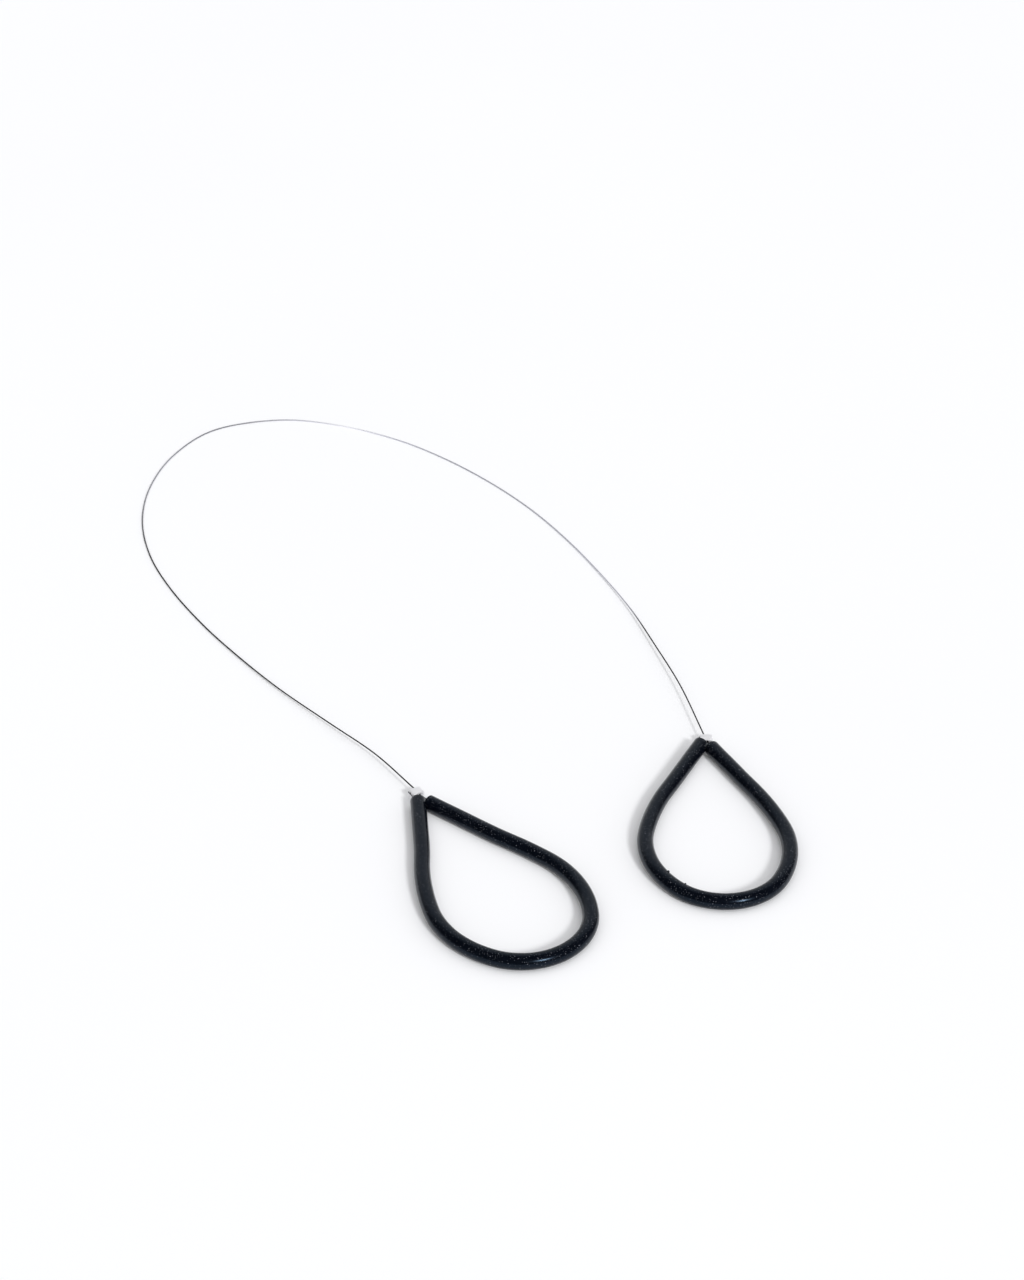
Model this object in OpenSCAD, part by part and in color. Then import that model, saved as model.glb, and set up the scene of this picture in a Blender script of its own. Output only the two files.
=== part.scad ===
// Clay cutter: a springy steel wire with a looped rubber grip at each end.
// Units are millimetres. X runs to the right, Y away from the viewer, Z up, and the table is z = 0.
// Each handle has its own frame: its two legs cross at the origin, and +Y points to the wire.

/* [Wire] */
// Diameter of the steel wire
wire_d = 0.45; // [0.3:0.05:0.7]

/* [Grip tube] */
// Outside diameter of the rubber tube
tube_od = 5; // [4.4:0.2:5.6]
// Diameter of the tube's bore
tube_bore = 2; // [1.4:0.1:2.6]
// Gap between the short leg's square end and the side of the long leg
butt_gap = 0.2; // [0.1:0.1:1]

/* [Crimp sleeve] */
// Length of a sleeve along the wire
sleeve_len = 3.2; // [2.4:0.2:3.2]
// Width of a sleeve across its two strands
sleeve_w = 4.4; // [3.4:0.2:4.4]
// Thickness of a sleeve
sleeve_h = 1.8; // [1.2:0.1:2]
// Radius of a sleeve's long edges
sleeve_edge_r = 0.6; // [0.2:0.1:0.6]
// Distance between the two strands in a sleeve
strand_pitch = 0.85; // [0.75:0.05:1.1]
// Bare wire between a sleeve and the point where it flexes
neck = 0.4; // [0.4:0.1:0.8]

/* [Left handle] */
// Angle between the long leg and the handle's axis, in degrees
left_apex = 25.5; // [24:0.5:28]
// Radius of the far end
left_end_r = 20.6; // [18:0.1:23]
// Radius of the side below the long leg
left_long_side_r = 32; // [28:0.5:36]
// Angle turned in that side, in degrees
left_long_side_turn = 52; // [48:1:56]
// Radius of the long leg's shoulder
left_long_shoulder_r = 90; // [80:1:100]
// Angle turned in that shoulder, in degrees
left_long_shoulder_turn = 15.5; // [12:0.5:18]
// Radius of the side below the short leg
left_short_side_r = 35.5; // [31:0.5:39]
// Angle turned in that side, in degrees
left_short_side_turn = 47; // [43:1:51]
// Radius of the short leg's shoulder
left_short_shoulder_r = 140; // [120:1:160]
// Angle turned in that shoulder, in degrees
left_short_shoulder_turn = 10; // [7:0.5:12]
// Radius of the bow by which both legs bend back
left_bow_r = 140; // [110:5:180]
// Angle turned in that bow, in degrees
left_bow_turn = 4; // [2:0.5:6]
// Angle by which the short leg lies nearer to the axis, in degrees
left_short_lean = 4.1; // [2:0.1:5]
// Length of the long leg past the crossing point
left_overrun = 0.5; // [0.1:0.1:0.7]
// Depth to which the short leg's end is squashed on the long leg
left_press = 1.2; // [0:0.1:1.4]
// Distance of the sleeve's mouth from the crossing point
left_mouth = 6.1; // [6.1:0.1:7]
// Sideways place of the sleeve
left_sleeve_x = 1.8; // [1.7:0.1:2.2]

/* [Right handle] */
// Angle between the long leg and the handle's axis, in degrees
right_apex = 27.5; // [26:0.5:30]
// Radius of the far end
right_end_r = 19.6; // [17:0.1:22]
// Radius of the side below the long leg
right_long_side_r = 31.5; // [28:0.5:35]
// Angle turned in that side, in degrees
right_long_side_turn = 53.5; // [49:0.5:57]
// Radius of the long leg's shoulder
right_long_shoulder_r = 80; // [70:1:90]
// Angle turned in that shoulder, in degrees
right_long_shoulder_turn = 16.5; // [13:0.5:20]
// Radius of the side below the short leg
right_short_side_r = 35; // [31:0.5:39]
// Angle turned in that side, in degrees
right_short_side_turn = 46; // [42:1:50]
// Radius of the short leg's shoulder
right_short_shoulder_r = 100; // [85:1:120]
// Angle turned in that shoulder, in degrees
right_short_shoulder_turn = 13.5; // [10:0.5:16]
// Radius of the bow by which both legs bend back
right_bow_r = 280; // [200:10:360]
// Angle turned in that bow, in degrees
right_bow_turn = 1.5; // [1:0.5:3]
// Angle by which the short leg lies nearer to the axis, in degrees
right_short_lean = 1.6; // [0.5:0.1:3]
// Length of the long leg past the crossing point
right_overrun = -2; // [-2.4:0.1:-2]
// Depth to which the short leg's end is squashed on the long leg
right_press = 0.2; // [0:0.1:0.6]
// Distance of the sleeve's mouth from the crossing point
right_mouth = 2.4; // [2.4:0.1:3]
// Sideways place of the sleeve
right_sleeve_x = 0.9; // [0.9:0.1:1.3]

/* [Hidden] */
$fn = 96;

// Places where the legs cross and the turn of each handle on the table
left_at = [-56.9, 21.3];
left_angle = 30.3;
right_at = [35.1, 54.1];
right_angle = 1.1;

tube_r = tube_od / 2;
wire_r = wire_d / 2;
// Radial play that keeps the wire just off the walls of the bores
bore_play = 0.1;
crimp_play = 0.01;
// Bent and straight stretches are parted by hair gaps, and thin discs join them
seam_gap = 0.05;
seam_h = 4 * seam_gap;
seam_lip = 0.01;
// A ball a little thicker than the wire joins two strands at an angle
bend_lip = 0.04;
// The loop of wire lies along the inner wall of the bore
wire_inset = tube_bore / 2 - wire_r - bore_play;

// The wire's own strand lies right of its tail in the left sleeve, and left of it in the right one
left_own = 1;
right_own = -1;

// Handle sizes in one list, read by the names below
left = [left_apex, left_end_r,
    [left_long_side_r, left_long_side_turn, left_long_shoulder_r, left_long_shoulder_turn],
    [left_short_side_r, left_short_side_turn, left_short_shoulder_r, left_short_shoulder_turn],
    left_bow_r, left_bow_turn, left_short_lean, left_overrun, left_press, left_mouth,
    left_sleeve_x, left_own];
right = [right_apex, right_end_r,
    [right_long_side_r, right_long_side_turn, right_long_shoulder_r, right_long_shoulder_turn],
    [right_short_side_r, right_short_side_turn, right_short_shoulder_r, right_short_shoulder_turn],
    right_bow_r, right_bow_turn, right_short_lean, right_overrun, right_press, right_mouth,
    right_sleeve_x, right_own];
function apex(h) = h[0];
function end_r(h) = h[1];
function long_side(h) = h[2];
function short_side(h) = h[3];
function bow_r(h) = h[4];
function bow_turn(h) = h[5];
function lean(h) = h[6];
function overrun(h) = h[7];
function press(h) = h[8];
function mouth_y(h) = h[9];
function sleeve_x(h) = h[10];
function own_side(h) = h[11];
function side_r(s) = s[0];
function side_turn(s) = s[1];
function shoulder_r(s) = s[2];
function shoulder_turn(s) = s[3];

// A pose on the path is [x, y, heading]; a line is [length, 0], and an arc is [radius, turn]
function ahead(p, run) = [p[0] + run * cos(p[2]), p[1] + run * sin(p[2]), p[2]];
function turned(p, r, turn) = let (side = sign(turn), end = p[2] + turn)
    [p[0] + side * r * (sin(end) - sin(p[2])), p[1] - side * r * (cos(end) - cos(p[2])), end];
function after(p, step) = step[1] == 0 ? ahead(p, step[0]) : turned(p, step[0], step[1]);
function poses(p, steps, i = 0) =
    i == len(steps) ? [p] : concat([p], poses(after(p, steps[i]), steps, i + 1));
function last(list) = list[len(list) - 1];
function arc_len(r, turn) = r * turn * PI / 180;

// Arcs from the middle of the far end round side s to a leg, drawn in by inset and turned less by less
function arcs(h, s, inset, less) = [
    [end_r(h) - inset, 90 + apex(h) + bow_turn(h) - side_turn(s) - shoulder_turn(s)],
    [side_r(s) - inset, side_turn(s)],
    [shoulder_r(s) - inset, shoulder_turn(s) - less],
    [bow_r(h) + inset, -bow_turn(h)]];
// Distance of the far end from the crossing point, which closes the long side on it
function far_y(h) = let (p = last(poses([0, 0, 0], arcs(h, long_side(h), 0, 0))))
    p[1] + p[0] / tan(apex(h));
function far(h) = [0, -far_y(h), 0];
function leg_start(h, s, less) = last(poses(far(h), arcs(h, s, 0, less)));
function long_leg(h) = leg_start(h, long_side(h), 0)[0] / sin(apex(h)) + overrun(h);
// Distance of a point from the long leg's centre line
function off_long(h, p) = p[0] * cos(apex(h)) - p[1] * sin(apex(h));
function short_leg(h) = let (
    start = leg_start(h, short_side(h), lean(h)),
    corner = tube_r * cos(2 * apex(h) - lean(h)),
    drop = off_long(h, start) - tube_r - corner - butt_gap + press(h))
    drop / -off_long(h, [cos(start[2]), sin(start[2])]);
// The two sides of the tube's centre line; past lengthens both legs
function short_path(h, past) = concat(arcs(h, short_side(h), 0, lean(h)), [[short_leg(h) + past, 0]]);
function long_path(h, past) = concat(arcs(h, long_side(h), 0, 0), [[long_leg(h) + past, 0]]);

// The short side's strand leaves its shoulder early, crosses the bore and comes out at the outer wall
function wire_lean(h) = let (
    r = shoulder_r(short_side(h)),
    reach = short_leg(h) + arc_len(bow_r(h), bow_turn(h)))
    180 / PI * (sqrt(reach * reach + 4 * r * wire_inset) - reach) / r;
function short_wire(h) = let (bends = arcs(h, short_side(h), wire_inset, lean(h) + wire_lean(h)))
    [bends[0], bends[1], bends[2], [arc_len(bends[2][0], wire_lean(h)), 0], bends[3],
        [short_leg(h), 0]];
// The long side is drawn mirrored
function long_wire(h) = concat(arcs(h, long_side(h), wire_inset, 0), [[long_leg(h), 0]]);
function wire_far(h) = [0, wire_inset - far_y(h), 0];

// The strands flex at the knuckle, just inside the sleeve's foot, and outside its mouth
function sleeve_foot(h) = mouth_y(h) - sleeve_len;
function knuckle_y(h) = sleeve_foot(h) - neck;
// Sideways places of the strands: from the long leg, from the short leg, the wire's own and its tail
function long_x(h) = sleeve_x(h) - strand_pitch / 2;
function short_x(h) = sleeve_x(h) + strand_pitch / 2;
function own_x(h) = sleeve_x(h) + own_side(h) * strand_pitch / 2;
function tail_x(h) = sleeve_x(h) - own_side(h) * strand_pitch / 2;
function toward(from, to, run) = from + run * (to - from) / norm(to - from);

// Free wire: points on the table between the handles, from the height of the tubes down to the table
wire_points = [
    [-71.8, 47.3, 2.2], [-87.8, 65.2, 1.7], [-105.8, 85.7, 1], [-121.8, 106.2, 0.6],
    [-136.3, 126.7, 0.4], [-150.3, 150.2, 0.3], [-160.8, 173.7, 0.3], [-166.8, 199.2, 0.3],
    [-166.8, 225.2, 0.3], [-160.3, 250.2, 0.3], [-146.3, 270.2, 0.3], [-121.3, 278.2, 0.3],
    [-97.3, 273.7, 0.3], [-73.3, 261.7, 0.3], [-53.3, 245.7, 0.3], [-35.3, 226.7, 0.3],
    [-19.8, 206.2, 0.3], [-6.3, 183.2, 0.4], [5.2, 159.2, 0.6], [14.7, 135.7, 1.1],
    [22.2, 111.7, 1.6], [29.5, 85.7, 2.3]];
// Number of rings for each stretch between two points, and of sides
wire_rings = 3;
wire_sides = 8;

// The wire flexes just outside each sleeve's mouth, about a point on its own strand
function flex_point(h) = [own_x(h), mouth_y(h) + neck];
function placed(at, angle, p) = [
    at[0] + p[0] * cos(angle) - p[1] * sin(angle),
    at[1] + p[0] * sin(angle) + p[1] * cos(angle), tube_r];
left_flex = placed(left_at, left_angle, flex_point(left));
right_flex = placed(right_at, right_angle, flex_point(right));
route = concat([toward(left_flex, wire_points[0], wire_r)], wire_points,
    [toward(right_flex, last(wire_points), wire_r)]);

// A smooth curve through the route's points
function blend(a, b, c, d, t) = (2 * b + (c - a) * t + (2 * a - 5 * b + 4 * c - d) * t * t
    + (3 * b - a - 3 * c + d) * t * t * t) / 2;
function curve(points, steps) = let (
    n = len(points),
    ends = concat([2 * points[0] - points[1]], points, [2 * points[n - 1] - points[n - 2]]))
    concat([for (i = [1:n - 1], k = [0:steps - 1])
        blend(ends[i - 1], ends[i], ends[i + 1], ends[i + 2], k / steps)], [points[n - 1]]);
function ring(centre, along, r, sides) = let (
    t = along / norm(along),
    n = [-t[1], t[0], 0] / norm([t[0], t[1]]),
    b = cross(t, n))
    [for (k = [0:sides - 1]) centre + r * (cos(360 * k / sides) * n + sin(360 * k / sides) * b)];

module swept(path, r, sides) {
    n = len(path);
    points = [for (i = [0:n - 1])
        each ring(path[i], path[min(i + 1, n - 1)] - path[max(i - 1, 0)], r, sides)];
    walls = [for (i = [0:n - 2], k = [0:sides - 1]) let (j = (k + 1) % sides)
        each [[i * sides + k, (i + 1) * sides + j, i * sides + j],
            [i * sides + k, (i + 1) * sides + k, (i + 1) * sides + j]]];
    start = [for (k = [1:sides - 2]) [0, k, k + 1]];
    last = (n - 1) * sides;
    end = [for (k = [1:sides - 2]) [last, last + k + 1, last + k]];
    polyhedron(points, concat(walls, start, end));
}

module at_left() translate([left_at[0], left_at[1], tube_r]) rotate(left_angle) children();
module at_right() translate([right_at[0], right_at[1], tube_r]) rotate(right_angle) children();

// A round bar from a pose, straight or bent, cut back by gap at each end
module stretch(p, step, d, gap, last_gap) {
    turn = step[1];
    side = sign(turn);
    cut = gap / arc_len(step[0], 1);
    if (turn == 0)
        translate([p[0], p[1], 0]) rotate([0, 90, p[2]]) translate([0, 0, gap])
            cylinder(h = step[0] - gap - last_gap, d = d);
    else
        translate([p[0] - side * step[0] * sin(p[2]), p[1] + side * step[0] * cos(p[2]), 0])
            rotate((side > 0 ? p[2] - 90 : p[2] + 90 + turn) + cut)
                rotate_extrude(angle = abs(turn) - 2 * cut)
                    translate([step[0], 0]) circle(d = d);
}
module seam_disc(p, d) translate([p[0], p[1], 0]) rotate([0, 90, p[2]])
    cylinder(h = seam_h, d = d + 2 * seam_lip, center = true);
// Stretches end to end, with a seam disc between each two
module run(start, steps, d) {
    path = poses(start, steps);
    n = len(steps);
    for (i = [0:n - 1]) stretch(path[i], steps[i], d, seam_gap, i == n - 1 ? 0 : seam_gap);
    for (i = [1:n - 1]) seam_disc(path[i], d);
}
module loop(far, short, long, d) {
    run(far, short, d);
    mirror([1, 0, 0]) run(far, long, d);
    seam_disc(far, d);
}
module rod_y(x, y, to, d) translate([x, y, 0]) rotate([-90, 0, 0]) cylinder(h = to - y, d = d);

// The long leg's straight, as the space that the short leg's end is squashed against
module long_leg_bar(h, d, past) mirror([1, 0, 0])
    stretch(leg_start(h, long_side(h), 0), [long_leg(h) + past, 0], d, 0, 0);
module grip(h) {
    past = 1;
    difference() {
        union() {
            difference() {
                run(far(h), short_path(h, 0), tube_od);
                long_leg_bar(h, tube_od + 2 * butt_gap, tube_od);
            }
            mirror([1, 0, 0]) run(far(h), long_path(h, 0), tube_od);
            seam_disc(far(h), tube_od);
        }
        loop(far(h), short_path(h, past), long_path(h, past), tube_bore);
    }
}
// A strand from the tube's end to the knuckle, with a ball where it bends
module strand(out, x, y) {
    way = [x, y] - out;
    gap = 2 * seam_gap;
    translate(out) sphere(wire_r + bend_lip);
    translate(out) rotate([0, 90, atan2(way[1], way[0])]) translate([0, 0, gap])
        cylinder(h = norm(way) - wire_r - gap, d = wire_d);
}
module loop_wire(h) {
    short_out = last(poses(wire_far(h), short_wire(h)));
    long_out = last(poses(wire_far(h), long_wire(h)));
    loop(wire_far(h), short_wire(h), long_wire(h), wire_d);
    strand([short_out[0], short_out[1]], short_x(h), knuckle_y(h));
    strand([-long_out[0], long_out[1]], long_x(h), knuckle_y(h));
}
module sleeve(h) {
    corner = [sleeve_w / 2 - sleeve_edge_r, sleeve_h / 2 - sleeve_edge_r];
    difference() {
        translate([sleeve_x(h), mouth_y(h), 0]) rotate([90, 0, 0]) linear_extrude(sleeve_len)
            union() {
                square([sleeve_w, 2 * corner[1]], center = true);
                square([2 * corner[0], sleeve_h], center = true);
                for (x = [-1, 1], z = [-1, 1])
                    translate([x * corner[0], z * corner[1]]) circle(sleeve_edge_r);
            }
        for (x = [own_x(h), tail_x(h)])
            rod_y(x, sleeve_foot(h) - neck, mouth_y(h) + neck, wire_d + 2 * crimp_play);
    }
}
// Round ends stand where the wire flexes, so that what turns there never cuts into them
module crimped_wire(h) {
    rod_y(own_x(h), knuckle_y(h), mouth_y(h) + neck, wire_d);
    rod_y(tail_x(h), knuckle_y(h), mouth_y(h), wire_d);
    translate([own_x(h), mouth_y(h) + neck, 0]) sphere(wire_r);
    for (x = [own_x(h), tail_x(h)]) translate([x, knuckle_y(h), 0]) sphere(wire_r);
}

module cutting_wire() color("slategray") swept(curve(route, wire_rings), wire_r, wire_sides);
module left_sleeve() color("gainsboro") at_left() sleeve(left);
module left_crimped_wire() color("slategray") at_left() crimped_wire(left);
module left_loop_wire() color("slategray") at_left() loop_wire(left);
module left_grip() color("#22252a") at_left() grip(left);
module right_sleeve() color("gainsboro") at_right() sleeve(right);
module right_crimped_wire() color("slategray") at_right() crimped_wire(right);
module right_loop_wire() color("slategray") at_right() loop_wire(right);
module right_grip() color("#22252a") at_right() grip(right);

cutting_wire();
left_sleeve();
left_crimped_wire();
left_loop_wire();
left_grip();
right_sleeve();
right_crimped_wire();
right_loop_wire();
right_grip();
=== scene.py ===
# %% [markdown]
# # A wire clay cutter
# A potter's cutter is one springy steel wire with a finger loop at each end. Each loop is the wire
# itself, bent back into a crimped aluminium sleeve and threaded through a length of black rubber tube.
# The construction comes packed from the CAD model, and this script dresses it: it makes the wire,
# the tubes and the sleeves as finished pieces, gives them their materials and lights them.

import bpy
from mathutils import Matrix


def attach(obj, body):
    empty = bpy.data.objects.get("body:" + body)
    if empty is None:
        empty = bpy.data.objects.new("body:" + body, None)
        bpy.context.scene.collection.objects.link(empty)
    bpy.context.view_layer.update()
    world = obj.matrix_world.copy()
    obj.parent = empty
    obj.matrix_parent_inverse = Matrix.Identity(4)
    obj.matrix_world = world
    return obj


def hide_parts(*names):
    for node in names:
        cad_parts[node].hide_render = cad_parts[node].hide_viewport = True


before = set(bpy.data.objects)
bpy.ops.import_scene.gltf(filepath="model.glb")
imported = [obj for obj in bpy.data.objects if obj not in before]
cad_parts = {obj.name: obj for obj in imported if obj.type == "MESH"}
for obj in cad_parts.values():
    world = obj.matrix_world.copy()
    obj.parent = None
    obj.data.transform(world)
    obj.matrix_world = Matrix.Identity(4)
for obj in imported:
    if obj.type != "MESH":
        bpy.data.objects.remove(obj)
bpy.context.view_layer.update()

# %% Tools and units
import bpy
import bmesh
import math
from mathutils import Matrix, Vector, kdtree, noise

MM = 0.001
print("one millimetre is", MM, "scene units")

# %% [markdown]
# ## Camera
# The photograph was taken with a fairly long lens from in front of the handles, looking down at a
# little more than a third of a right angle. A long lens keeps the two handles nearly the same size
# although one lies further away. A lens can be set by its focal length or by its angle of view. The
# vertical angle is used here, so the picture's own shape doesn't matter.

# %% Camera
CAMERA_AT = Vector((-27.35, -577.4, 459.8)) * MM
CAMERA_DOWN = math.radians(33.5)
CAMERA_ANGLE = math.radians(30)

camera_data = bpy.data.cameras.new("photo_camera")
camera_data.sensor_fit = "VERTICAL"
camera_data.sensor_height = 24
camera_data.lens = camera_data.sensor_height / 2 / math.tan(CAMERA_ANGLE / 2)
camera_data.clip_start = 0.01
camera = bpy.data.objects.new("photo_camera", camera_data)
camera.location = CAMERA_AT
camera.rotation_euler = (math.pi / 2 - CAMERA_DOWN, 0, 0)
bpy.context.scene.collection.objects.link(camera)
bpy.context.scene.camera = camera
bpy.context.scene.view_settings.view_transform = "Standard"
print(f"lens {camera_data.lens:.1f} mm at {CAMERA_AT.length:.2f} m")

# %% [markdown]
# ## Sizes
# The wire and the tubes are bought by the metre, so they have round sizes. Each handle has its own
# frame, as on the drawing: the two straight legs cross at its origin and +Y points to the wire.
# A side of the loop is four arcs and a straight leg: the far end, the side, the shoulder and a slight
# bow the other way, by which the stiff wire inside pulls the leg straight. The leg's length follows
# from closing the loop at the crossing point. A freehand curve could follow the same line, but arcs
# have radii that can be measured and changed one by one.

# %% Sizes shared by both handles
WIRE_D = 0.45 * MM
TUBE_OD = 5 * MM
TUBE_BORE = 2 * MM
BUTT_GAP = 0.2 * MM
SLEEVE_LEN = 3.2 * MM
SLEEVE_W = 4.4 * MM
SLEEVE_H = 1.8 * MM
STRAND_PITCH = 0.85 * MM
NECK = 0.4 * MM
print(f"wire {WIRE_D / MM} mm, tube {TUBE_OD / MM} mm")

# %% Sizes of each handle
# Lengths are in millimetres and turns in degrees. "at" and "turn" place the handle on the table.
# "apex" is the angle between the long leg and the handle's axis, and "end_r" is the far end's radius.
# "bow" is (radius, turn), and a long or short side is (side radius, side turn, shoulder radius,
# shoulder turn). The short leg lies "lean" nearer to the axis, and its end is squashed "press" deep on
# the long leg, which runs "overrun" past the crossing point. "mouth" and "sleeve_x" place the sleeve's
# mouth. "own" is 1 where the wire's own strand lies right of its tail in the sleeve, and -1 where left.
# The right press is 0.3 mm more than on the drawing, so that no light shows between the legs.
HANDLES = {
    "left": {
        "at": (-56.9, 21.3), "turn": 30.3, "apex": 25.5, "end_r": 20.6, "bow": (140, 4),
        "long": (32, 52, 90, 15.5), "short": (35.5, 47, 140, 10),
        "lean": 4.1, "overrun": 0.5, "press": 1.2, "mouth": 6.1, "sleeve_x": 1.8, "own": 1},
    "right": {
        "at": (35.1, 54.1), "turn": 1.1, "apex": 27.5, "end_r": 19.6, "bow": (280, 1.5),
        "long": (31.5, 53.5, 80, 16.5), "short": (35, 46, 100, 13.5),
        "lean": 1.6, "overrun": -2, "press": 0.5, "mouth": 2.4, "sleeve_x": 0.9, "own": -1},
}


def handle_place(handle):
    """Matrix from a handle's own frame to its place on the table."""
    x, y = handle["at"]
    place = Matrix.Translation((x * MM, y * MM, TUBE_OD / 2))
    return place @ Matrix.Rotation(math.radians(handle["turn"]), 4, "Z")


def local(handle, x, y):
    """A point given in millimetres in a handle's own frame, in its place on the table."""
    return handle_place(handle) @ Vector((x * MM, y * MM, 0))


for name, handle in HANDLES.items():
    print(name, "legs cross at", [round(v, 4) for v in local(handle, 0, 0)])

# %% [markdown]
# ## Cutting wire
# The wire is spring steel, about half a millimetre thick, and keeps the wide curve of the coil that it
# came from. It leaves each sleeve at half the tubes' height and comes down to the table within about
# 150 mm. It could be a simulated cable, but a stiff wire at rest is simply a smooth curve: a row of
# listed points, a smooth curve through them, and a round bevel, kept as a mesh.

# %% Points along the wire
WIRE_POINTS = [
    (-71.8, 47.3, 2.2), (-87.8, 65.2, 1.7), (-105.8, 85.7, 1), (-121.8, 106.2, 0.6),
    (-136.3, 126.7, 0.4), (-150.3, 150.2, 0.3), (-160.8, 173.7, 0.3), (-166.8, 199.2, 0.3),
    (-166.8, 225.2, 0.3), (-160.3, 250.2, 0.3), (-146.3, 270.2, 0.3), (-121.3, 278.2, 0.3),
    (-97.3, 273.7, 0.3), (-73.3, 261.7, 0.3), (-53.3, 245.7, 0.3), (-35.3, 226.7, 0.3),
    (-19.8, 206.2, 0.3), (-6.3, 183.2, 0.4), (5.2, 159.2, 0.6), (14.7, 135.7, 1.1),
    (22.2, 111.7, 1.6), (29.5, 85.7, 2.3)]
CURVE_STEPS = 8


def flex_point(handle):
    """Where the wire flexes, just outside the sleeve's mouth."""
    strand_x = handle["sleeve_x"] + handle["own"] * STRAND_PITCH / 2 / MM
    return local(handle, strand_x, handle["mouth"] + NECK / MM)


def smooth_curve(points, steps):
    """Points on a smooth curve that passes through every given point."""
    ends = [2 * points[0] - points[1], *points, 2 * points[-1] - points[-2]]
    path = []
    for a, b, c, d in zip(ends, ends[1:], ends[2:], ends[3:]):
        for k in range(steps):
            t = k / steps
            bend = (2 * a - 5 * b + 4 * c - d) * t ** 2 + (3 * b - a - 3 * c + d) * t ** 3
            path.append((2 * b + (c - a) * t + bend) / 2)
    return path + [points[-1]]


def toward(start, end, run):
    """The point that lies run from start on the way to end."""
    return start + (end - start).normalized() * run


inner_points = [Vector(p) * MM for p in WIRE_POINTS]
left_exit = toward(flex_point(HANDLES["left"]), inner_points[0], WIRE_D / 2)
right_exit = toward(flex_point(HANDLES["right"]), inner_points[-1], WIRE_D / 2)
wire_path = smooth_curve([left_exit, *inner_points, right_exit], CURVE_STEPS)

# %% Bevel a path
WIRE_ROUND = 4


def curve_tube(name, path, diameter):
    """A round tube along a path, made by a bevelled curve and kept as a mesh."""
    curve = bpy.data.curves.new(name, "CURVE")
    curve.dimensions = "3D"
    curve.bevel_depth = diameter / 2
    curve.bevel_resolution = WIRE_ROUND
    curve.use_fill_caps = True
    spline = curve.splines.new("POLY")
    spline.points.add(len(path) - 1)
    for spot, point in zip(spline.points, path):
        spot.co = (*point, 1)
    spline.use_smooth = True
    former = bpy.data.objects.new(f"{name}_former", curve)
    mesh = bpy.data.meshes.new_from_object(former)
    bpy.data.objects.remove(former)
    mesh.name = name
    mesh.shade_smooth()
    tube = bpy.data.objects.new(name, mesh)
    bpy.context.scene.collection.objects.link(tube)
    return tube


wire = curve_tube("wire", wire_path, WIRE_D)
print("wire mesh:", len(wire.data.vertices), "vertices")

# %% [markdown]
# The wire's tone changes along its length, and a material can't measure that by itself. An image could
# be laid along a UV map, but one number at each vertex is enough: how far along the wire it lies.

# %% Mark the wire's length
def mark_length(tube, path):
    """Writes how far along its path each vertex lies, from 0 to 1, as the attribute along."""
    runs = [0]
    finder = kdtree.KDTree(len(path))
    for a, b in zip(path, path[1:]):
        runs.append(runs[-1] + (b - a).length)
    for index, point in enumerate(path):
        finder.insert(point, index)
    finder.balance()
    along = tube.data.attributes.new("along", "FLOAT", "POINT")
    for vert in tube.data.vertices:
        along.data[vert.index].value = runs[finder.find(vert.co)[1]] / runs[-1]


mark_length(wire, wire_path)
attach(wire, "wire")
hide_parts("cutting_wire")
print("wire attributes:", [item.name for item in wire.data.attributes if item.domain == "POINT"])

# %% [markdown]
# ## Rubber tubes
# Each grip is a cut length of soft tube on the wire loop. A tube is a ring carried along a path, so the
# mesh is made the same way: a circle is spun round each arc and pushed along each straight leg. A curve
# with a bevel would be quicker, but this way the cut ends, the wall and the bore are real: Solidify
# grows the wall inwards to the bore, and a small bevel softens the rim that the knife left.

# %% Path of a tube
# A pose on the path is (x, y, heading). A step is a (length, 0) line or a (radius, turn) arc.
def ahead(pose, run):
    """The pose after a straight run."""
    x, y, heading = pose
    return x + run * math.cos(heading), y + run * math.sin(heading), heading


def turned(pose, radius, turn):
    """The pose after an arc, which turns left where turn is positive."""
    x, y, heading = pose
    side = math.copysign(radius, turn)
    end = heading + turn
    return (x + side * (math.sin(end) - math.sin(heading)),
        y - side * (math.cos(end) - math.cos(heading)), end)


def follow(pose, steps):
    """The pose after a row of steps."""
    for size, turn in steps:
        pose = turned(pose, size, turn) if turn else ahead(pose, size)
    return pose


half_circle = turned((0, 0, 0), 10 * MM, math.pi)
print("a half circle of 10 mm radius ends", round(half_circle[1] / MM), "mm to the left")

# %% [markdown]
# Both sides of a loop start at the middle of its far end. The long side decides how far that lies from
# the crossing point, because its leg has to point there, and the short leg stops where its tube meets
# the long leg's tube. Both lengths could be found by trying, but plane geometry gives them at once.

# %% Sides of a loop
def side_arcs(handle, side, lean):
    """Arcs from the middle of the far end round a side to its leg."""
    side_r, side_turn, shoulder_r, shoulder_turn = handle[side]
    bow_r, bow_turn = handle["bow"]
    end_turn = 90 + handle["apex"] + bow_turn - side_turn - shoulder_turn
    arcs = [(handle["end_r"], end_turn), (side_r, side_turn), (shoulder_r, shoulder_turn - lean),
        (bow_r, -bow_turn)]
    return [(radius * MM, math.radians(turn)) for radius, turn in arcs]


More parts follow.
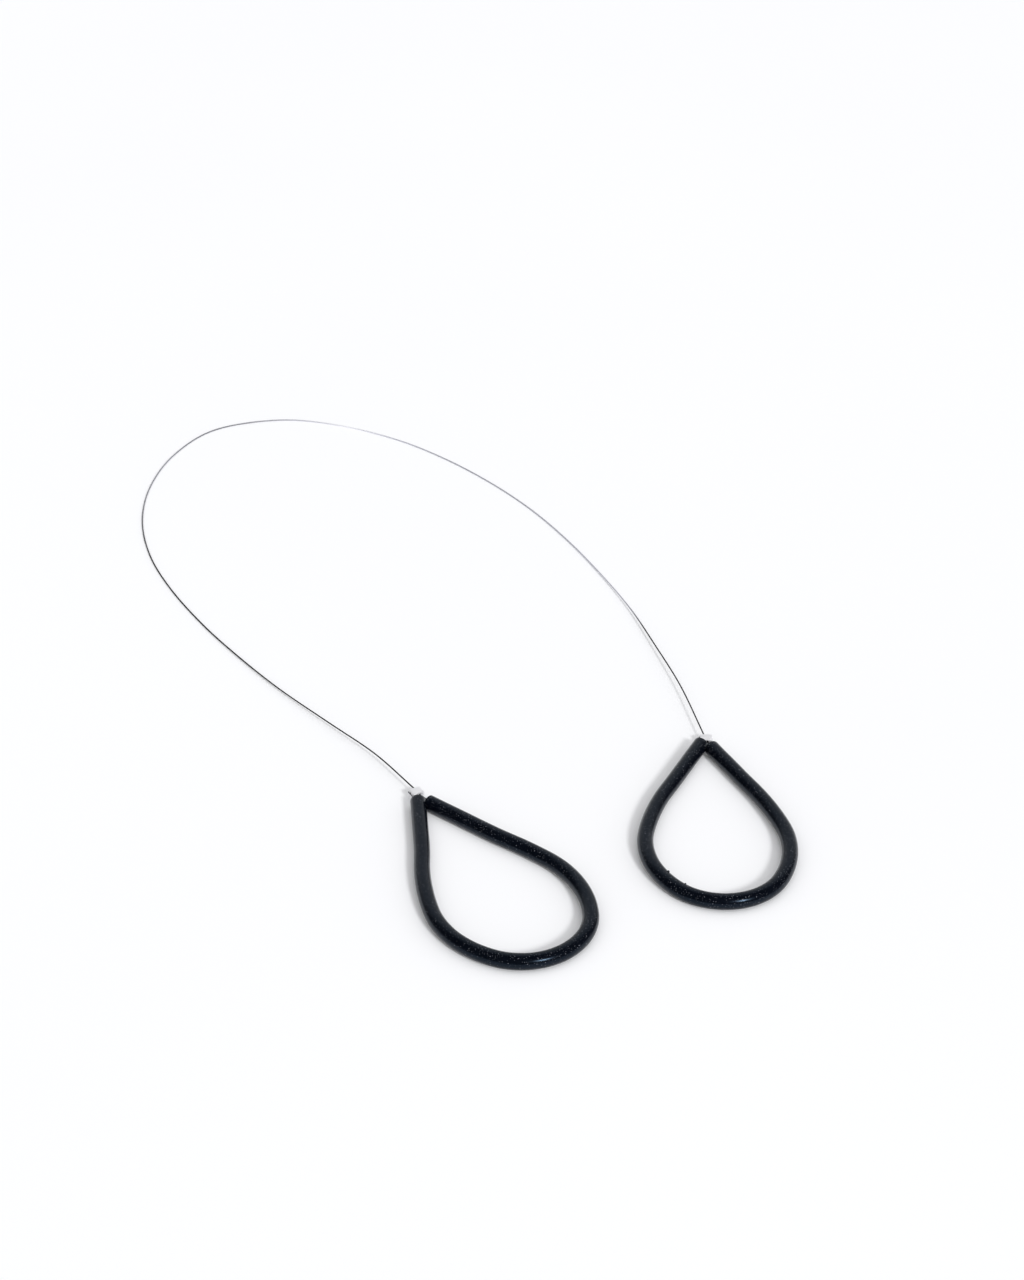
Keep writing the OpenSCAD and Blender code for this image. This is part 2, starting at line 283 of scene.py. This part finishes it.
def tube_sides(handle):
    """The far end's distance from the crossing point, and the steps of the short and long side."""
    apex, lean = math.radians(handle["apex"]), math.radians(handle["lean"])
    long_side = side_arcs(handle, "long", 0)
    x, y, _ = follow((0, 0, 0), long_side)
    far_y = y + x / math.tan(apex)
    long_leg = x / math.sin(apex) + handle["overrun"] * MM
    short_side = side_arcs(handle, "short", handle["lean"])
    x, y, heading = follow((0, -far_y, 0), short_side)
    reach = TUBE_OD / 2 * (1 + math.cos(2 * apex - lean)) + BUTT_GAP - handle["press"] * MM
    drop = x * math.cos(apex) - y * math.sin(apex) - reach
    rate = math.sin(apex) * math.sin(heading) - math.cos(apex) * math.cos(heading)
    return far_y, short_side + [(drop / rate, 0)], long_side + [(long_leg, 0)]


for name, handle in HANDLES.items():
    far_y, short_side, long_side = tube_sides(handle)
    print(name, f"far end {far_y / MM:.1f} mm, legs {short_side[-1][0] / MM:.1f}",
        f"and {long_side[-1][0] / MM:.1f} mm")

# %% Start and grow a ring
RING_STEP = 1.6 * MM
RING_SIDES = 48


def each_once(items):
    """The items in their order, each once."""
    return list(dict.fromkeys(items))


def ring_at(bm, pose, radius):
    """A ring of vertices across a pose; returns its edges."""
    x, y, heading = pose
    place = Matrix.Translation((x, y, 0)) @ Matrix.Rotation(heading, 4, "Z")
    place = place @ Matrix.Rotation(math.pi / 2, 4, "Y")
    ring = bmesh.ops.create_circle(bm, segments=RING_SIDES, radius=radius, matrix=place)
    return each_once(edge for vert in ring["verts"] for edge in vert.link_edges)


def grow_ring(bm, edges):
    """Extrudes a ring of edges in place; returns the new vertices and edges."""
    grown = bmesh.ops.extrude_edge_only(bm, edges=edges)["geom"]
    verts = [item for item in grown if isinstance(item, bmesh.types.BMVert)]
    ring = [item for item in grown if isinstance(item, bmesh.types.BMEdge)
        and all(vert in verts for vert in item.verts)]
    return verts, ring


print("a tube has", RING_SIDES, "sides and a ring every", RING_STEP / MM, "mm")

# %% Carry a ring along a path
def carry_straight(bm, edges, heading, run):
    """Pushes a ring along a line in short steps."""
    count = max(1, round(run / RING_STEP))
    way = Vector((math.cos(heading), math.sin(heading), 0)) * run / count
    for _ in range(count):
        verts, edges = grow_ring(bm, edges)
        bmesh.ops.translate(bm, verts=verts, vec=way)
    return edges


def carry_round(bm, edges, pose, radius, turn):
    """Spins a ring round an arc's centre."""
    x, y, heading = pose
    side = math.copysign(radius, turn)
    centre = Vector((x - side * math.sin(heading), y + side * math.cos(heading), 0))
    count = max(2, round(radius * abs(turn) / RING_STEP))
    verts = each_once(vert for edge in edges for vert in edge.verts)
    spun = bmesh.ops.spin(bm, geom=verts + edges, cent=centre, axis=(0, 0, 1), angle=turn,
        steps=count)
    return [item for item in spun["geom_last"] if isinstance(item, bmesh.types.BMEdge)]


def carry(bm, pose, steps, radius):
    """A ring carried from a pose along lines and arcs."""
    edges = ring_at(bm, pose, radius)
    for size, turn in steps:
        if turn:
            edges = carry_round(bm, edges, pose, size, turn)
            pose = turned(pose, size, turn)
        else:
            edges = carry_straight(bm, edges, pose[2], size)
            pose = ahead(pose, size)


# A short bend tries the helpers before the real tubes.
trial = bmesh.new()
carry(trial, (0, 0, 0), [(10 * MM, math.pi / 2), (10 * MM, 0)], TUBE_OD / 2)
print("a trial bend has", len(trial.faces), "faces")
trial.free()

# %% [markdown]
# Extruded rubber is never quite even. Its skin swells and narrows by a few hundredths of a millimetre.
# Bump would show that only in the shading, so a slow noise moves the skin itself in and out, and the
# highlights follow. The short leg's end butts on the long leg, and soft rubber takes that leg's shape.

# %% Shape the skin
WAVE_DEPTH = 0.04 * MM
WAVE_LENGTH = 9 * MM
RIPPLE = 0.4
RIPPLES_PER_WAVE = 3
END_PRESS = 0.08 * MM


def wavy(bm):
    """Moves the skin in and out by a slow noise, and keeps it above the table."""
    bm.normal_update()
    moves = {}
    for vert in bm.verts:
        swell = noise.noise(vert.co / WAVE_LENGTH)
        swell += RIPPLE * noise.noise(vert.co * RIPPLES_PER_WAVE / WAVE_LENGTH)
        moves[vert] = vert.normal * swell * WAVE_DEPTH
    for vert, move in moves.items():
        vert.co += move
        vert.co.z = max(vert.co.z, -TUBE_OD / 2)


def squash(bm, handle, heading):
    """Pushes the short leg's end back to just inside the long leg's skin."""
    apex = math.radians(handle["apex"])
    across = Vector((math.cos(apex), -math.sin(apex), 0))
    way = Vector((math.cos(heading), math.sin(heading), 0))
    for vert in bm.verts:
        side = math.sqrt(max(0, (TUBE_OD / 2) ** 2 - vert.co.z ** 2))
        excess = side - END_PRESS - vert.co.dot(across)
        if excess > 0:
            vert.co += way * excess / way.dot(across)


print("the skin moves by", WAVE_DEPTH / MM, "mm")

# %% From bmesh to object
def finish_mesh(bm, name, place):
    """Puts a bmesh in its place and makes it a smooth shaded object."""
    bmesh.ops.transform(bm, matrix=place, verts=bm.verts)
    bmesh.ops.recalc_face_normals(bm, faces=bm.faces)
    mesh = bpy.data.meshes.new(name)
    bm.to_mesh(mesh)
    bm.free()
    mesh.shade_smooth()
    piece = bpy.data.objects.new(name, mesh)
    bpy.context.scene.collection.objects.link(piece)
    return piece


print("a finished piece keeps its object at the origin")

# %% Build both tubes
RIM_BEVEL = 0.22 * MM
RIM_ANGLE = math.radians(50)
MERGE = 0.01 * MM


def build_tube(side, handle):
    """A cut length of tube bent round a handle's loop. The long side is drawn mirrored."""
    far_y, short_side, long_side = tube_sides(handle)
    far = (0, -far_y, 0)
    bm = bmesh.new()
    carry(bm, far, short_side, TUBE_OD / 2)
    squash(bm, handle, follow(far, short_side)[2])
    short_verts = set(bm.verts)
    carry(bm, far, long_side, TUBE_OD / 2)
    for vert in bm.verts:
        if vert not in short_verts:
            vert.co.x = -vert.co.x
    bmesh.ops.remove_doubles(bm, verts=bm.verts, dist=MERGE)
    bmesh.ops.recalc_face_normals(bm, faces=bm.faces)
    wavy(bm)
    tube = finish_mesh(bm, f"{side}_tube", handle_place(handle))
    wall = tube.modifiers.new("wall", "SOLIDIFY")
    wall.thickness = (TUBE_OD - TUBE_BORE) / 2
    wall.offset = -1
    wall.use_even_offset = False
    rim = tube.modifiers.new("rim", "BEVEL")
    rim.width = RIM_BEVEL
    rim.segments = 3
    rim.limit_method = "ANGLE"
    rim.angle_limit = RIM_ANGLE
    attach(tube, f"{side}_handle")
    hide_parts(f"{side}_grip")
    return tube


tubes = {side: build_tube(side, handle) for side, handle in HANDLES.items()}
for side, tube in tubes.items():
    print(side, "tube skin:", len(tube.data.vertices), "vertices")

# %% [markdown]
# Two crumbs of rubber cling to the right tube's inner edge, where a mould or a blade left them. Pulling
# bumps out of the tube's own mesh would need finer rings there, so each crumb is a small sphere with
# its middle on the tube's skin.

# %% Crumbs on the right tube
# Each crumb is its place and its radius, in millimetres.
CRUMBS = [((19.9, -15.7, 4.6), 0.42), ((24.7, -21.3, 4.6), 0.28)]


def build_crumbs():
    """Small beads set in the tube's skin."""
    bm = bmesh.new()
    for at, radius in CRUMBS:
        spot = tubes["right"].closest_point_on_mesh(Vector(at) * MM)[1]
        bmesh.ops.create_icosphere(bm, subdivisions=2, radius=radius * MM,
            matrix=Matrix.Translation(spot))
    crumbs = finish_mesh(bm, "right_crumbs", Matrix.Identity(4))
    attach(crumbs, "right_handle")
    return crumbs


crumbs = build_crumbs()
print("crumbs:", len(CRUMBS))

# %% [markdown]
# ## Crimped sleeves
# A sleeve is a short oval aluminium ferrule that was squeezed on the two strands of the wire. Squeezing
# leaves a rounded block with a pressed band and slightly swollen ends, and along one side its seam is a
# strip of painted shade. A subdivided box would round off its flats as well, so it is carried like the
# tubes: an oval ring is pushed from the foot to the mouth and scaled a little at each station, and its
# ends are drawn in to a dark oval hole.

# %% Oval rings
# A station is (share of the length, scale) from the foot to the mouth.
SLEEVE_SIDES = 40
SLEEVE_SQUARENESS = 3.4
FOOT_SCALE = 0.9
SLEEVE_STATIONS = [(0.04, 0.97), (0.12, 1), (0.24, 0.99), (0.32, 0.93), (0.5, 0.91),
    (0.68, 0.93), (0.76, 0.99), (0.88, 1), (0.96, 0.97), (1, 0.9)]


def oval(angle, width, height, squareness):
    """A point on a rounded oval, between an ellipse and a rectangle."""
    c, s = math.cos(angle), math.sin(angle)
    reach = (abs(c) ** squareness + abs(s) ** squareness) ** (-1 / squareness)
    return Vector((width / 2 * c * reach, 0, height / 2 * s * reach))


def oval_angle(vert):
    """The angle of one of the sleeve's vertices, as oval() takes it."""
    return math.atan2(vert.co.z / SLEEVE_H, vert.co.x / SLEEVE_W)


def push_oval(bm):
    """Pushes an oval ring from the foot to the mouth; returns the edges of both ends."""
    ring = bmesh.ops.create_circle(bm, segments=SLEEVE_SIDES, radius=1,
        matrix=Matrix.Rotation(math.pi / 2, 4, "X"))["verts"]
    for vert in ring:
        angle = math.atan2(vert.co.z, vert.co.x)
        vert.co = oval(angle, SLEEVE_W * FOOT_SCALE, SLEEVE_H * FOOT_SCALE, SLEEVE_SQUARENESS)
    foot = each_once(edge for vert in ring for edge in vert.link_edges)
    edges = foot
    for share, scale in SLEEVE_STATIONS:
        verts, edges = grow_ring(bm, edges)
        side_scale = (1 + scale) / 2
        for vert in verts:
            angle = oval_angle(vert)
            vert.co = oval(angle, SLEEVE_W * side_scale, SLEEVE_H * scale, SLEEVE_SQUARENESS)
            vert.co.y = share * SLEEVE_LEN
    return foot, edges


print("a sleeve has", len(SLEEVE_STATIONS) + 1, "stations")

# %% Ends and seam
HOLE_W = 1.5 * MM
HOLE_H = 0.62 * MM
HOLE_DEPTH = 0.5 * MM
HOLE_SQUARENESS = 2.4
# The faces within these bounds get the painted seam shade.
SEAM_X = -0.4 * SLEEVE_W
SEAM_LOW = -0.1 * MM
SEAM_HIGH = 0.45 * MM
SEAM_START = 0.02 * SLEEVE_LEN
SEAM_END = 0.98 * SLEEVE_LEN


def close_end(bm, edges, y, inward):
    """Draws an end in to its oval hole and closes the hole's floor."""
    verts, edges = grow_ring(bm, edges)
    for vert in verts:
        vert.co = oval(oval_angle(vert), HOLE_W, HOLE_H, HOLE_SQUARENESS) + Vector((0, y, 0))
    verts, edges = grow_ring(bm, edges)
    bmesh.ops.translate(bm, verts=verts, vec=(0, inward * HOLE_DEPTH, 0))
    bmesh.ops.contextual_create(bm, geom=edges)


def mark_seam_shade(bm):
    """Gives the faces along one side of a sleeve its second material, the painted seam shade."""
    for face in bm.faces:
        x, y, z = face.calc_center_median()
        if x < SEAM_X and SEAM_LOW < z < SEAM_HIGH and SEAM_START < y < SEAM_END:
            face.material_index = 1


print(f"seam faces have their middle between {SEAM_LOW / MM:.2f} and {SEAM_HIGH / MM:.2f} mm")

# %% Build both sleeves
def build_sleeve(side, handle):
    """An oval ferrule pressed on the two strands."""
    bm = bmesh.new()
    foot_edges, mouth_edges = push_oval(bm)
    close_end(bm, mouth_edges, SLEEVE_LEN, -1)
    close_end(bm, foot_edges, 0, 1)
    mark_seam_shade(bm)
    foot = handle["mouth"] * MM - SLEEVE_LEN
    place = handle_place(handle) @ Matrix.Translation((handle["sleeve_x"] * MM, foot, 0))
    sleeve = finish_mesh(bm, f"{side}_ferrule", place)
    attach(sleeve, f"{side}_crimp")
    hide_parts(f"{side}_sleeve")
    return sleeve


sleeves = {side: build_sleeve(side, handle) for side, handle in HANDLES.items()}
print("sleeves:", [piece.name for piece in sleeves.values()])

# %% [markdown]
# ## Materials
# Three finishes and the painted shade of a seam make the cutter. Each is a Principled shader with noise
# on Object coordinates. A scanned image could carry the same detail, but noise needs no file, and
# Object coordinates sit still on the piece when a handle moves.

# %% Helpers for materials
def new_material(name):
    """A material with its node tree and its Principled shader."""
    material = bpy.data.materials.new(name)
    material.use_nodes = True
    return material, material.node_tree, material.node_tree.nodes["Principled BSDF"]


def object_noise(tree, scale, detail):
    """A noise texture on Object coordinates, with scale waves to the metre."""
    where = tree.nodes.new("ShaderNodeTexCoord")
    texture = tree.nodes.new("ShaderNodeTexNoise")
    texture.inputs["Scale"].default_value = scale
    texture.inputs["Detail"].default_value = detail
    tree.links.new(where.outputs["Object"], texture.inputs["Vector"])
    return texture.outputs["Fac"]


def ramp(tree, value, stops):
    """A colour ramp fed by a value, from (place, colour) stops."""
    node = tree.nodes.new("ShaderNodeValToRGB")
    elements = node.color_ramp.elements
    while len(elements) < len(stops):
        elements.new(0.5)
    for element, (place, colour) in zip(elements, stops):
        element.position = place
        element.color = (*colour, 1)
    tree.links.new(value, node.inputs["Fac"])
    return node.outputs["Color"]


def spread(tree, value, low, high, to_low, to_high):
    """Maps a value from one range to another."""
    node = tree.nodes.new("ShaderNodeMapRange")
    for socket, number in zip(("From Min", "From Max", "To Min", "To Max"),
            (low, high, to_low, to_high)):
        node.inputs[socket].default_value = number
    tree.links.new(value, node.inputs["Value"])
    return node.outputs["Result"]


print("material helpers ready")

# %% Helpers for roughness and bump
NOISE_LOW = 0.3
NOISE_HIGH = 0.7


def uneven_roughness(tree, shader, scale, detail, smooth, rough):
    """Lets a noise vary the roughness between two values."""
    value = object_noise(tree, scale, detail)
    result = spread(tree, value, NOISE_LOW, NOISE_HIGH, smooth, rough)
    tree.links.new(result, shader.inputs["Roughness"])


def bump(tree, shader, height, strength, distance):
    """Bump from a height value."""
    node = tree.nodes.new("ShaderNodeBump")
    node.inputs["Strength"].default_value = strength
    node.inputs["Distance"].default_value = distance
    tree.links.new(height, node.inputs["Height"])
    tree.links.new(node.outputs["Normal"], shader.inputs["Normal"])


print("most of a noise lies between", NOISE_LOW, "and", NOISE_HIGH)

# %% [markdown]
# Black rubber mirrors little, and what it mirrors looks a cold blue. A fairly low roughness keeps its
# glints narrow with a soft edge. Fine dust clings to it: many pale specks, each a fraction of a
# millimetre across. They could be scattered grains, but the peaks of a fine noise look the same and
# add nothing to the mesh.

# %% Rubber
# Where the fine noise rises past this edge, a speck begins and is full.
SPECK_EDGE = (0.675, 0.74)


def make_rubber():
    """Blue black rubber with dust."""
    material, tree, shader = new_material("black_rubber")
    cloudy = ramp(tree, object_noise(tree, scale=260, detail=4), [
        (NOISE_LOW, (0.0012, 0.0018, 0.004)), (NOISE_HIGH, (0.0024, 0.0034, 0.0065))])
    specks = spread(tree, object_noise(tree, scale=2900, detail=1), *SPECK_EDGE, 0, 1)
    mix = tree.nodes.new("ShaderNodeMix")
    mix.data_type = "RGBA"
    mix.inputs["B"].default_value = (0.15, 0.155, 0.175, 1)
    tree.links.new(specks, mix.inputs["Factor"])
    tree.links.new(cloudy, mix.inputs["A"])
    tree.links.new(mix.outputs["Result"], shader.inputs["Base Color"])
    uneven_roughness(tree, shader, scale=900, detail=3, smooth=0.19, rough=0.26)
    shader.inputs["Specular IOR Level"].default_value = 0.22
    shader.inputs["Specular Tint"].default_value = (0.5, 0.72, 1, 1)
    bump(tree, shader, object_noise(tree, scale=1800, detail=3), strength=0.25, distance=0.04 * MM)
    return material


rubber = make_rubber()
for piece in (*tubes.values(), crumbs):
    piece.data.materials.append(rubber)
print("rubber on", len(tubes), "tubes and the crumbs")

# %% [markdown]
# Drawn spring steel is smooth. The wire looks dark towards both ends and pale in the middle from
# what it mirrors, and that reflection is painted into its colour. What it would mirror in this simple
# room isn't enough for that, so the painted tone is read from the attribute along and broken up by a
# slow noise. A satin skin scatters as much as it mirrors, so the shader is only partly metallic. The
# held stretches have no such attribute and read 0, the painted dark of the ends.

# %% Steel
# A tone of the painted reflection is (share of the wire's length from its left end, brightness).
PAINTED_REFLECTION_TONES = [(0, 0.01), (0.29, 0.01), (0.33, 0.1), (0.37, 0.28), (0.42, 0.34), (0.46, 0.26),
    (0.5, 0.22), (0.53, 0.6), (0.57, 1), (0.6, 0.7), (0.65, 0.52), (0.73, 0.52), (0.8, 0.62),
    (0.85, 0.58), (0.87, 0.42), (0.892, 0.01), (0.94, 0.01), (0.97, 0.03), (1, 0.02)]
STEEL_TINT = (0.96, 0.96, 1.06)
STEEL_METAL = 0.4
TONE_WANDER = 0.01


def make_steel():
    """Satin spring steel with a painted reflection: dark ends and a pale middle."""
    material, tree, shader = new_material("spring_steel")
    along = tree.nodes.new("ShaderNodeAttribute")
    along.attribute_name = "along"
    wander = tree.nodes.new("ShaderNodeMath")
    wander.operation = "MULTIPLY_ADD"
    wander.inputs[1].default_value = TONE_WANDER
    tree.links.new(object_noise(tree, scale=60, detail=3), wander.inputs[0])
    tree.links.new(along.outputs["Fac"], wander.inputs[2])
    # This ramp is the painted reflection along the wire, used as base colour and specular tint.
    colour = ramp(tree, wander.outputs["Value"], [
        (place, [min(1, tone * tint) for tint in STEEL_TINT]) for place, tone in PAINTED_REFLECTION_TONES])
    tree.links.new(colour, shader.inputs["Base Color"])
    tree.links.new(colour, shader.inputs["Specular Tint"])
    uneven_roughness(tree, shader, scale=1500, detail=2, smooth=0.25, rough=0.35)
    shader.inputs["Metallic"].default_value = STEEL_METAL
    bump(tree, shader, object_noise(tree, scale=5000, detail=2), strength=0.15, distance=0.01 * MM)
    return material


steel = make_steel()
wire.data.materials.append(steel)
for side in HANDLES:
    for part in ("crimped_wire", "loop_wire"):
        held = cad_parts[f"{side}_{part}"]
        held.data.materials.clear()
        held.data.materials.append(steel)
print("steel on the wire and its held stretches")

# %% [markdown]
# Aluminium ferrules are soft and pale, and the pressing leaves a fine frosted skin. A full metal would
# mirror the dim side of the room and turn too dark, so the shader is partly metallic and fairly rough.

# %% Aluminium
def make_aluminium():
    """Frosted pale aluminium."""
    material, tree, shader = new_material("pressed_aluminium")
    colour = ramp(tree, object_noise(tree, scale=700, detail=3), [
        (NOISE_LOW, (0.9, 0.9, 0.93)), (NOISE_HIGH, (0.96, 0.96, 0.99))])
    tree.links.new(colour, shader.inputs["Base Color"])
    uneven_roughness(tree, shader, scale=1400, detail=3, smooth=0.34, rough=0.5)
    shader.inputs["Metallic"].default_value = 0.6
    bump(tree, shader, object_noise(tree, scale=2500, detail=3), strength=0.3, distance=0.02 * MM)
    return material


aluminium = make_aluminium()
for sleeve in sleeves.values():
    sleeve.data.materials.append(aluminium)
print("aluminium on", len(sleeves), "sleeves")

# %% [markdown]
# A ferrule closes on itself along its seam, and little light comes back out of that narrow slit. A
# groove could be cut in the mesh, but at this size only its darkness shows, so that shade is painted:
# the seam is a strip of faces with a dull, nearly black second material.

# %% Seam
def make_seam_shade():
    """Painted shade for the shadow in a closed seam."""
    material, tree, shader = new_material("seam_shadow")
    colour = ramp(tree, object_noise(tree, scale=2000, detail=2), [
        (NOISE_LOW, (0.01, 0.01, 0.012)), (NOISE_HIGH, (0.03, 0.03, 0.035))])
    tree.links.new(colour, shader.inputs["Base Color"])
    shader.inputs["Roughness"].default_value = 0.7
    return material


seam = make_seam_shade()
for sleeve in sleeves.values():
    sleeve.data.materials.append(seam)
print("materials on a sleeve:", [item.name for item in sleeves["left"].data.materials])

# %% [markdown]
# ## Floor and light
# The cutter lies on a white sweep in a bright room. A backdrop with a curved rise would look the same,
# because the camera sees only its level part, so a plain sheet is enough. Its white is a little short
# of full and very slightly cold, as in the photograph.

# %% Floor
FLOOR_SIZE = 8


def make_floor():
    """A large level sheet of matt white."""
    material, tree, shader = new_material("white_sweep")
    colour = ramp(tree, object_noise(tree, scale=3, detail=1), [
        (NOISE_LOW, (0.945, 0.95, 0.97)), (NOISE_HIGH, (0.955, 0.96, 0.98))])
    tree.links.new(colour, shader.inputs["Base Color"])
    shader.inputs["Roughness"].default_value = 0.9
    shader.inputs["Specular IOR Level"].default_value = 0.1
    bm = bmesh.new()
    bmesh.ops.create_grid(bm, x_segments=4, y_segments=4, size=FLOOR_SIZE / 2)
    floor = finish_mesh(bm, "floor", Matrix.Identity(4))
    floor.data.materials.append(material)
    return floor


floor = make_floor()
print(floor.name, "of", FLOOR_SIZE, "m")

# %% [markdown]
# The room itself isn't modelled. White walls could stand round the table, but a level that depends on
# the direction does the same in the world shader. The fill is brighter towards the window, where more
# daylight comes in. A light path node tells what a ray is for, so the glossy pieces mirror a backdrop
# of their own: white on the far side and dim elsewhere, which keeps their crests dark. What the camera
# sees past the floor is plain white.

# %% World
# A direction is (heading, rise). An edge is how far from it the level starts to rise and is full.
FILL_AT = (math.radians(-60), math.radians(55))
FILL_EDGE = (math.radians(105), math.radians(20))
FILL_LEVELS = (0.2, 1.04)
BACKDROP_AT = (math.radians(90), math.radians(15))
BACKDROP_EDGE = (math.radians(60), math.radians(38))
BACKDROP_LEVELS = (0.04, 0.75)
WHITE = (1, 1, 1, 1)

world = bpy.data.worlds.new("studio")
bpy.context.scene.world = world
world.use_nodes = True
tree = world.node_tree
background = tree.nodes["Background"]
paths = tree.nodes.new("ShaderNodeLightPath")
where = tree.nodes.new("ShaderNodeTexCoord")


def glow(at, edge, levels):
    """A level that rises from the first to the second towards a heading and a rise."""
    heading, rise = at
    facing = tree.nodes.new("ShaderNodeVectorMath")
    facing.operation = "DOT_PRODUCT"
    facing.inputs[1].default_value = (math.cos(heading) * math.cos(rise),
        math.sin(heading) * math.cos(rise), math.sin(rise))
    tree.links.new(where.outputs["Generated"], facing.inputs[0])
    return spread(tree, facing.outputs["Value"], math.cos(edge[0]), math.cos(edge[1]), *levels)


def pick(flag, if_set, otherwise):
    """A mix node that picks a colour by a light path flag."""
    node = tree.nodes.new("ShaderNodeMix")
    node.data_type = "RGBA"
    tree.links.new(flag, node.inputs["Factor"])
    for socket, value in (("A", otherwise), ("B", if_set)):
        if isinstance(value, tuple):
            node.inputs[socket].default_value = value
        else:
            tree.links.new(value, node.inputs[socket])
    return node.outputs["Result"]


fill = glow(FILL_AT, FILL_EDGE, FILL_LEVELS)
backdrop = glow(BACKDROP_AT, BACKDROP_EDGE, BACKDROP_LEVELS)
level = pick(paths.outputs["Is Glossy Ray"], backdrop, fill)
level = pick(paths.outputs["Is Transmission Ray"], WHITE, level)
level = pick(paths.outputs["Is Camera Ray"], WHITE, level)
tree.links.new(level, background.inputs["Color"])
print("world fill levels", FILL_LEVELS)

# %% [markdown]
# A window behind the camera, to its right, is the only strong light. It draws the sharp glints on the
# near bends and sends short soft shadows to the back left. An area lamp would light the near side of
# the table more than the far side, so the window is a sun lamp, which is equally bright everywhere,
# and the lamp's angle is the width that the window seems to have from the table.

# %% Window
WINDOW_HEADING = math.radians(-58)
WINDOW_RISE = math.radians(33.5)
WINDOW_WIDTH = math.radians(10)
WINDOW_LEVEL = 1.6

window_light = bpy.data.lights.new("window", "SUN")
window_light.angle = WINDOW_WIDTH
window_light.energy = WINDOW_LEVEL
window = bpy.data.objects.new("window", window_light)
window.rotation_euler = (math.pi / 2 - WINDOW_RISE, 0, WINDOW_HEADING + math.pi / 2)
bpy.context.scene.collection.objects.link(window)
print("window level", WINDOW_LEVEL)
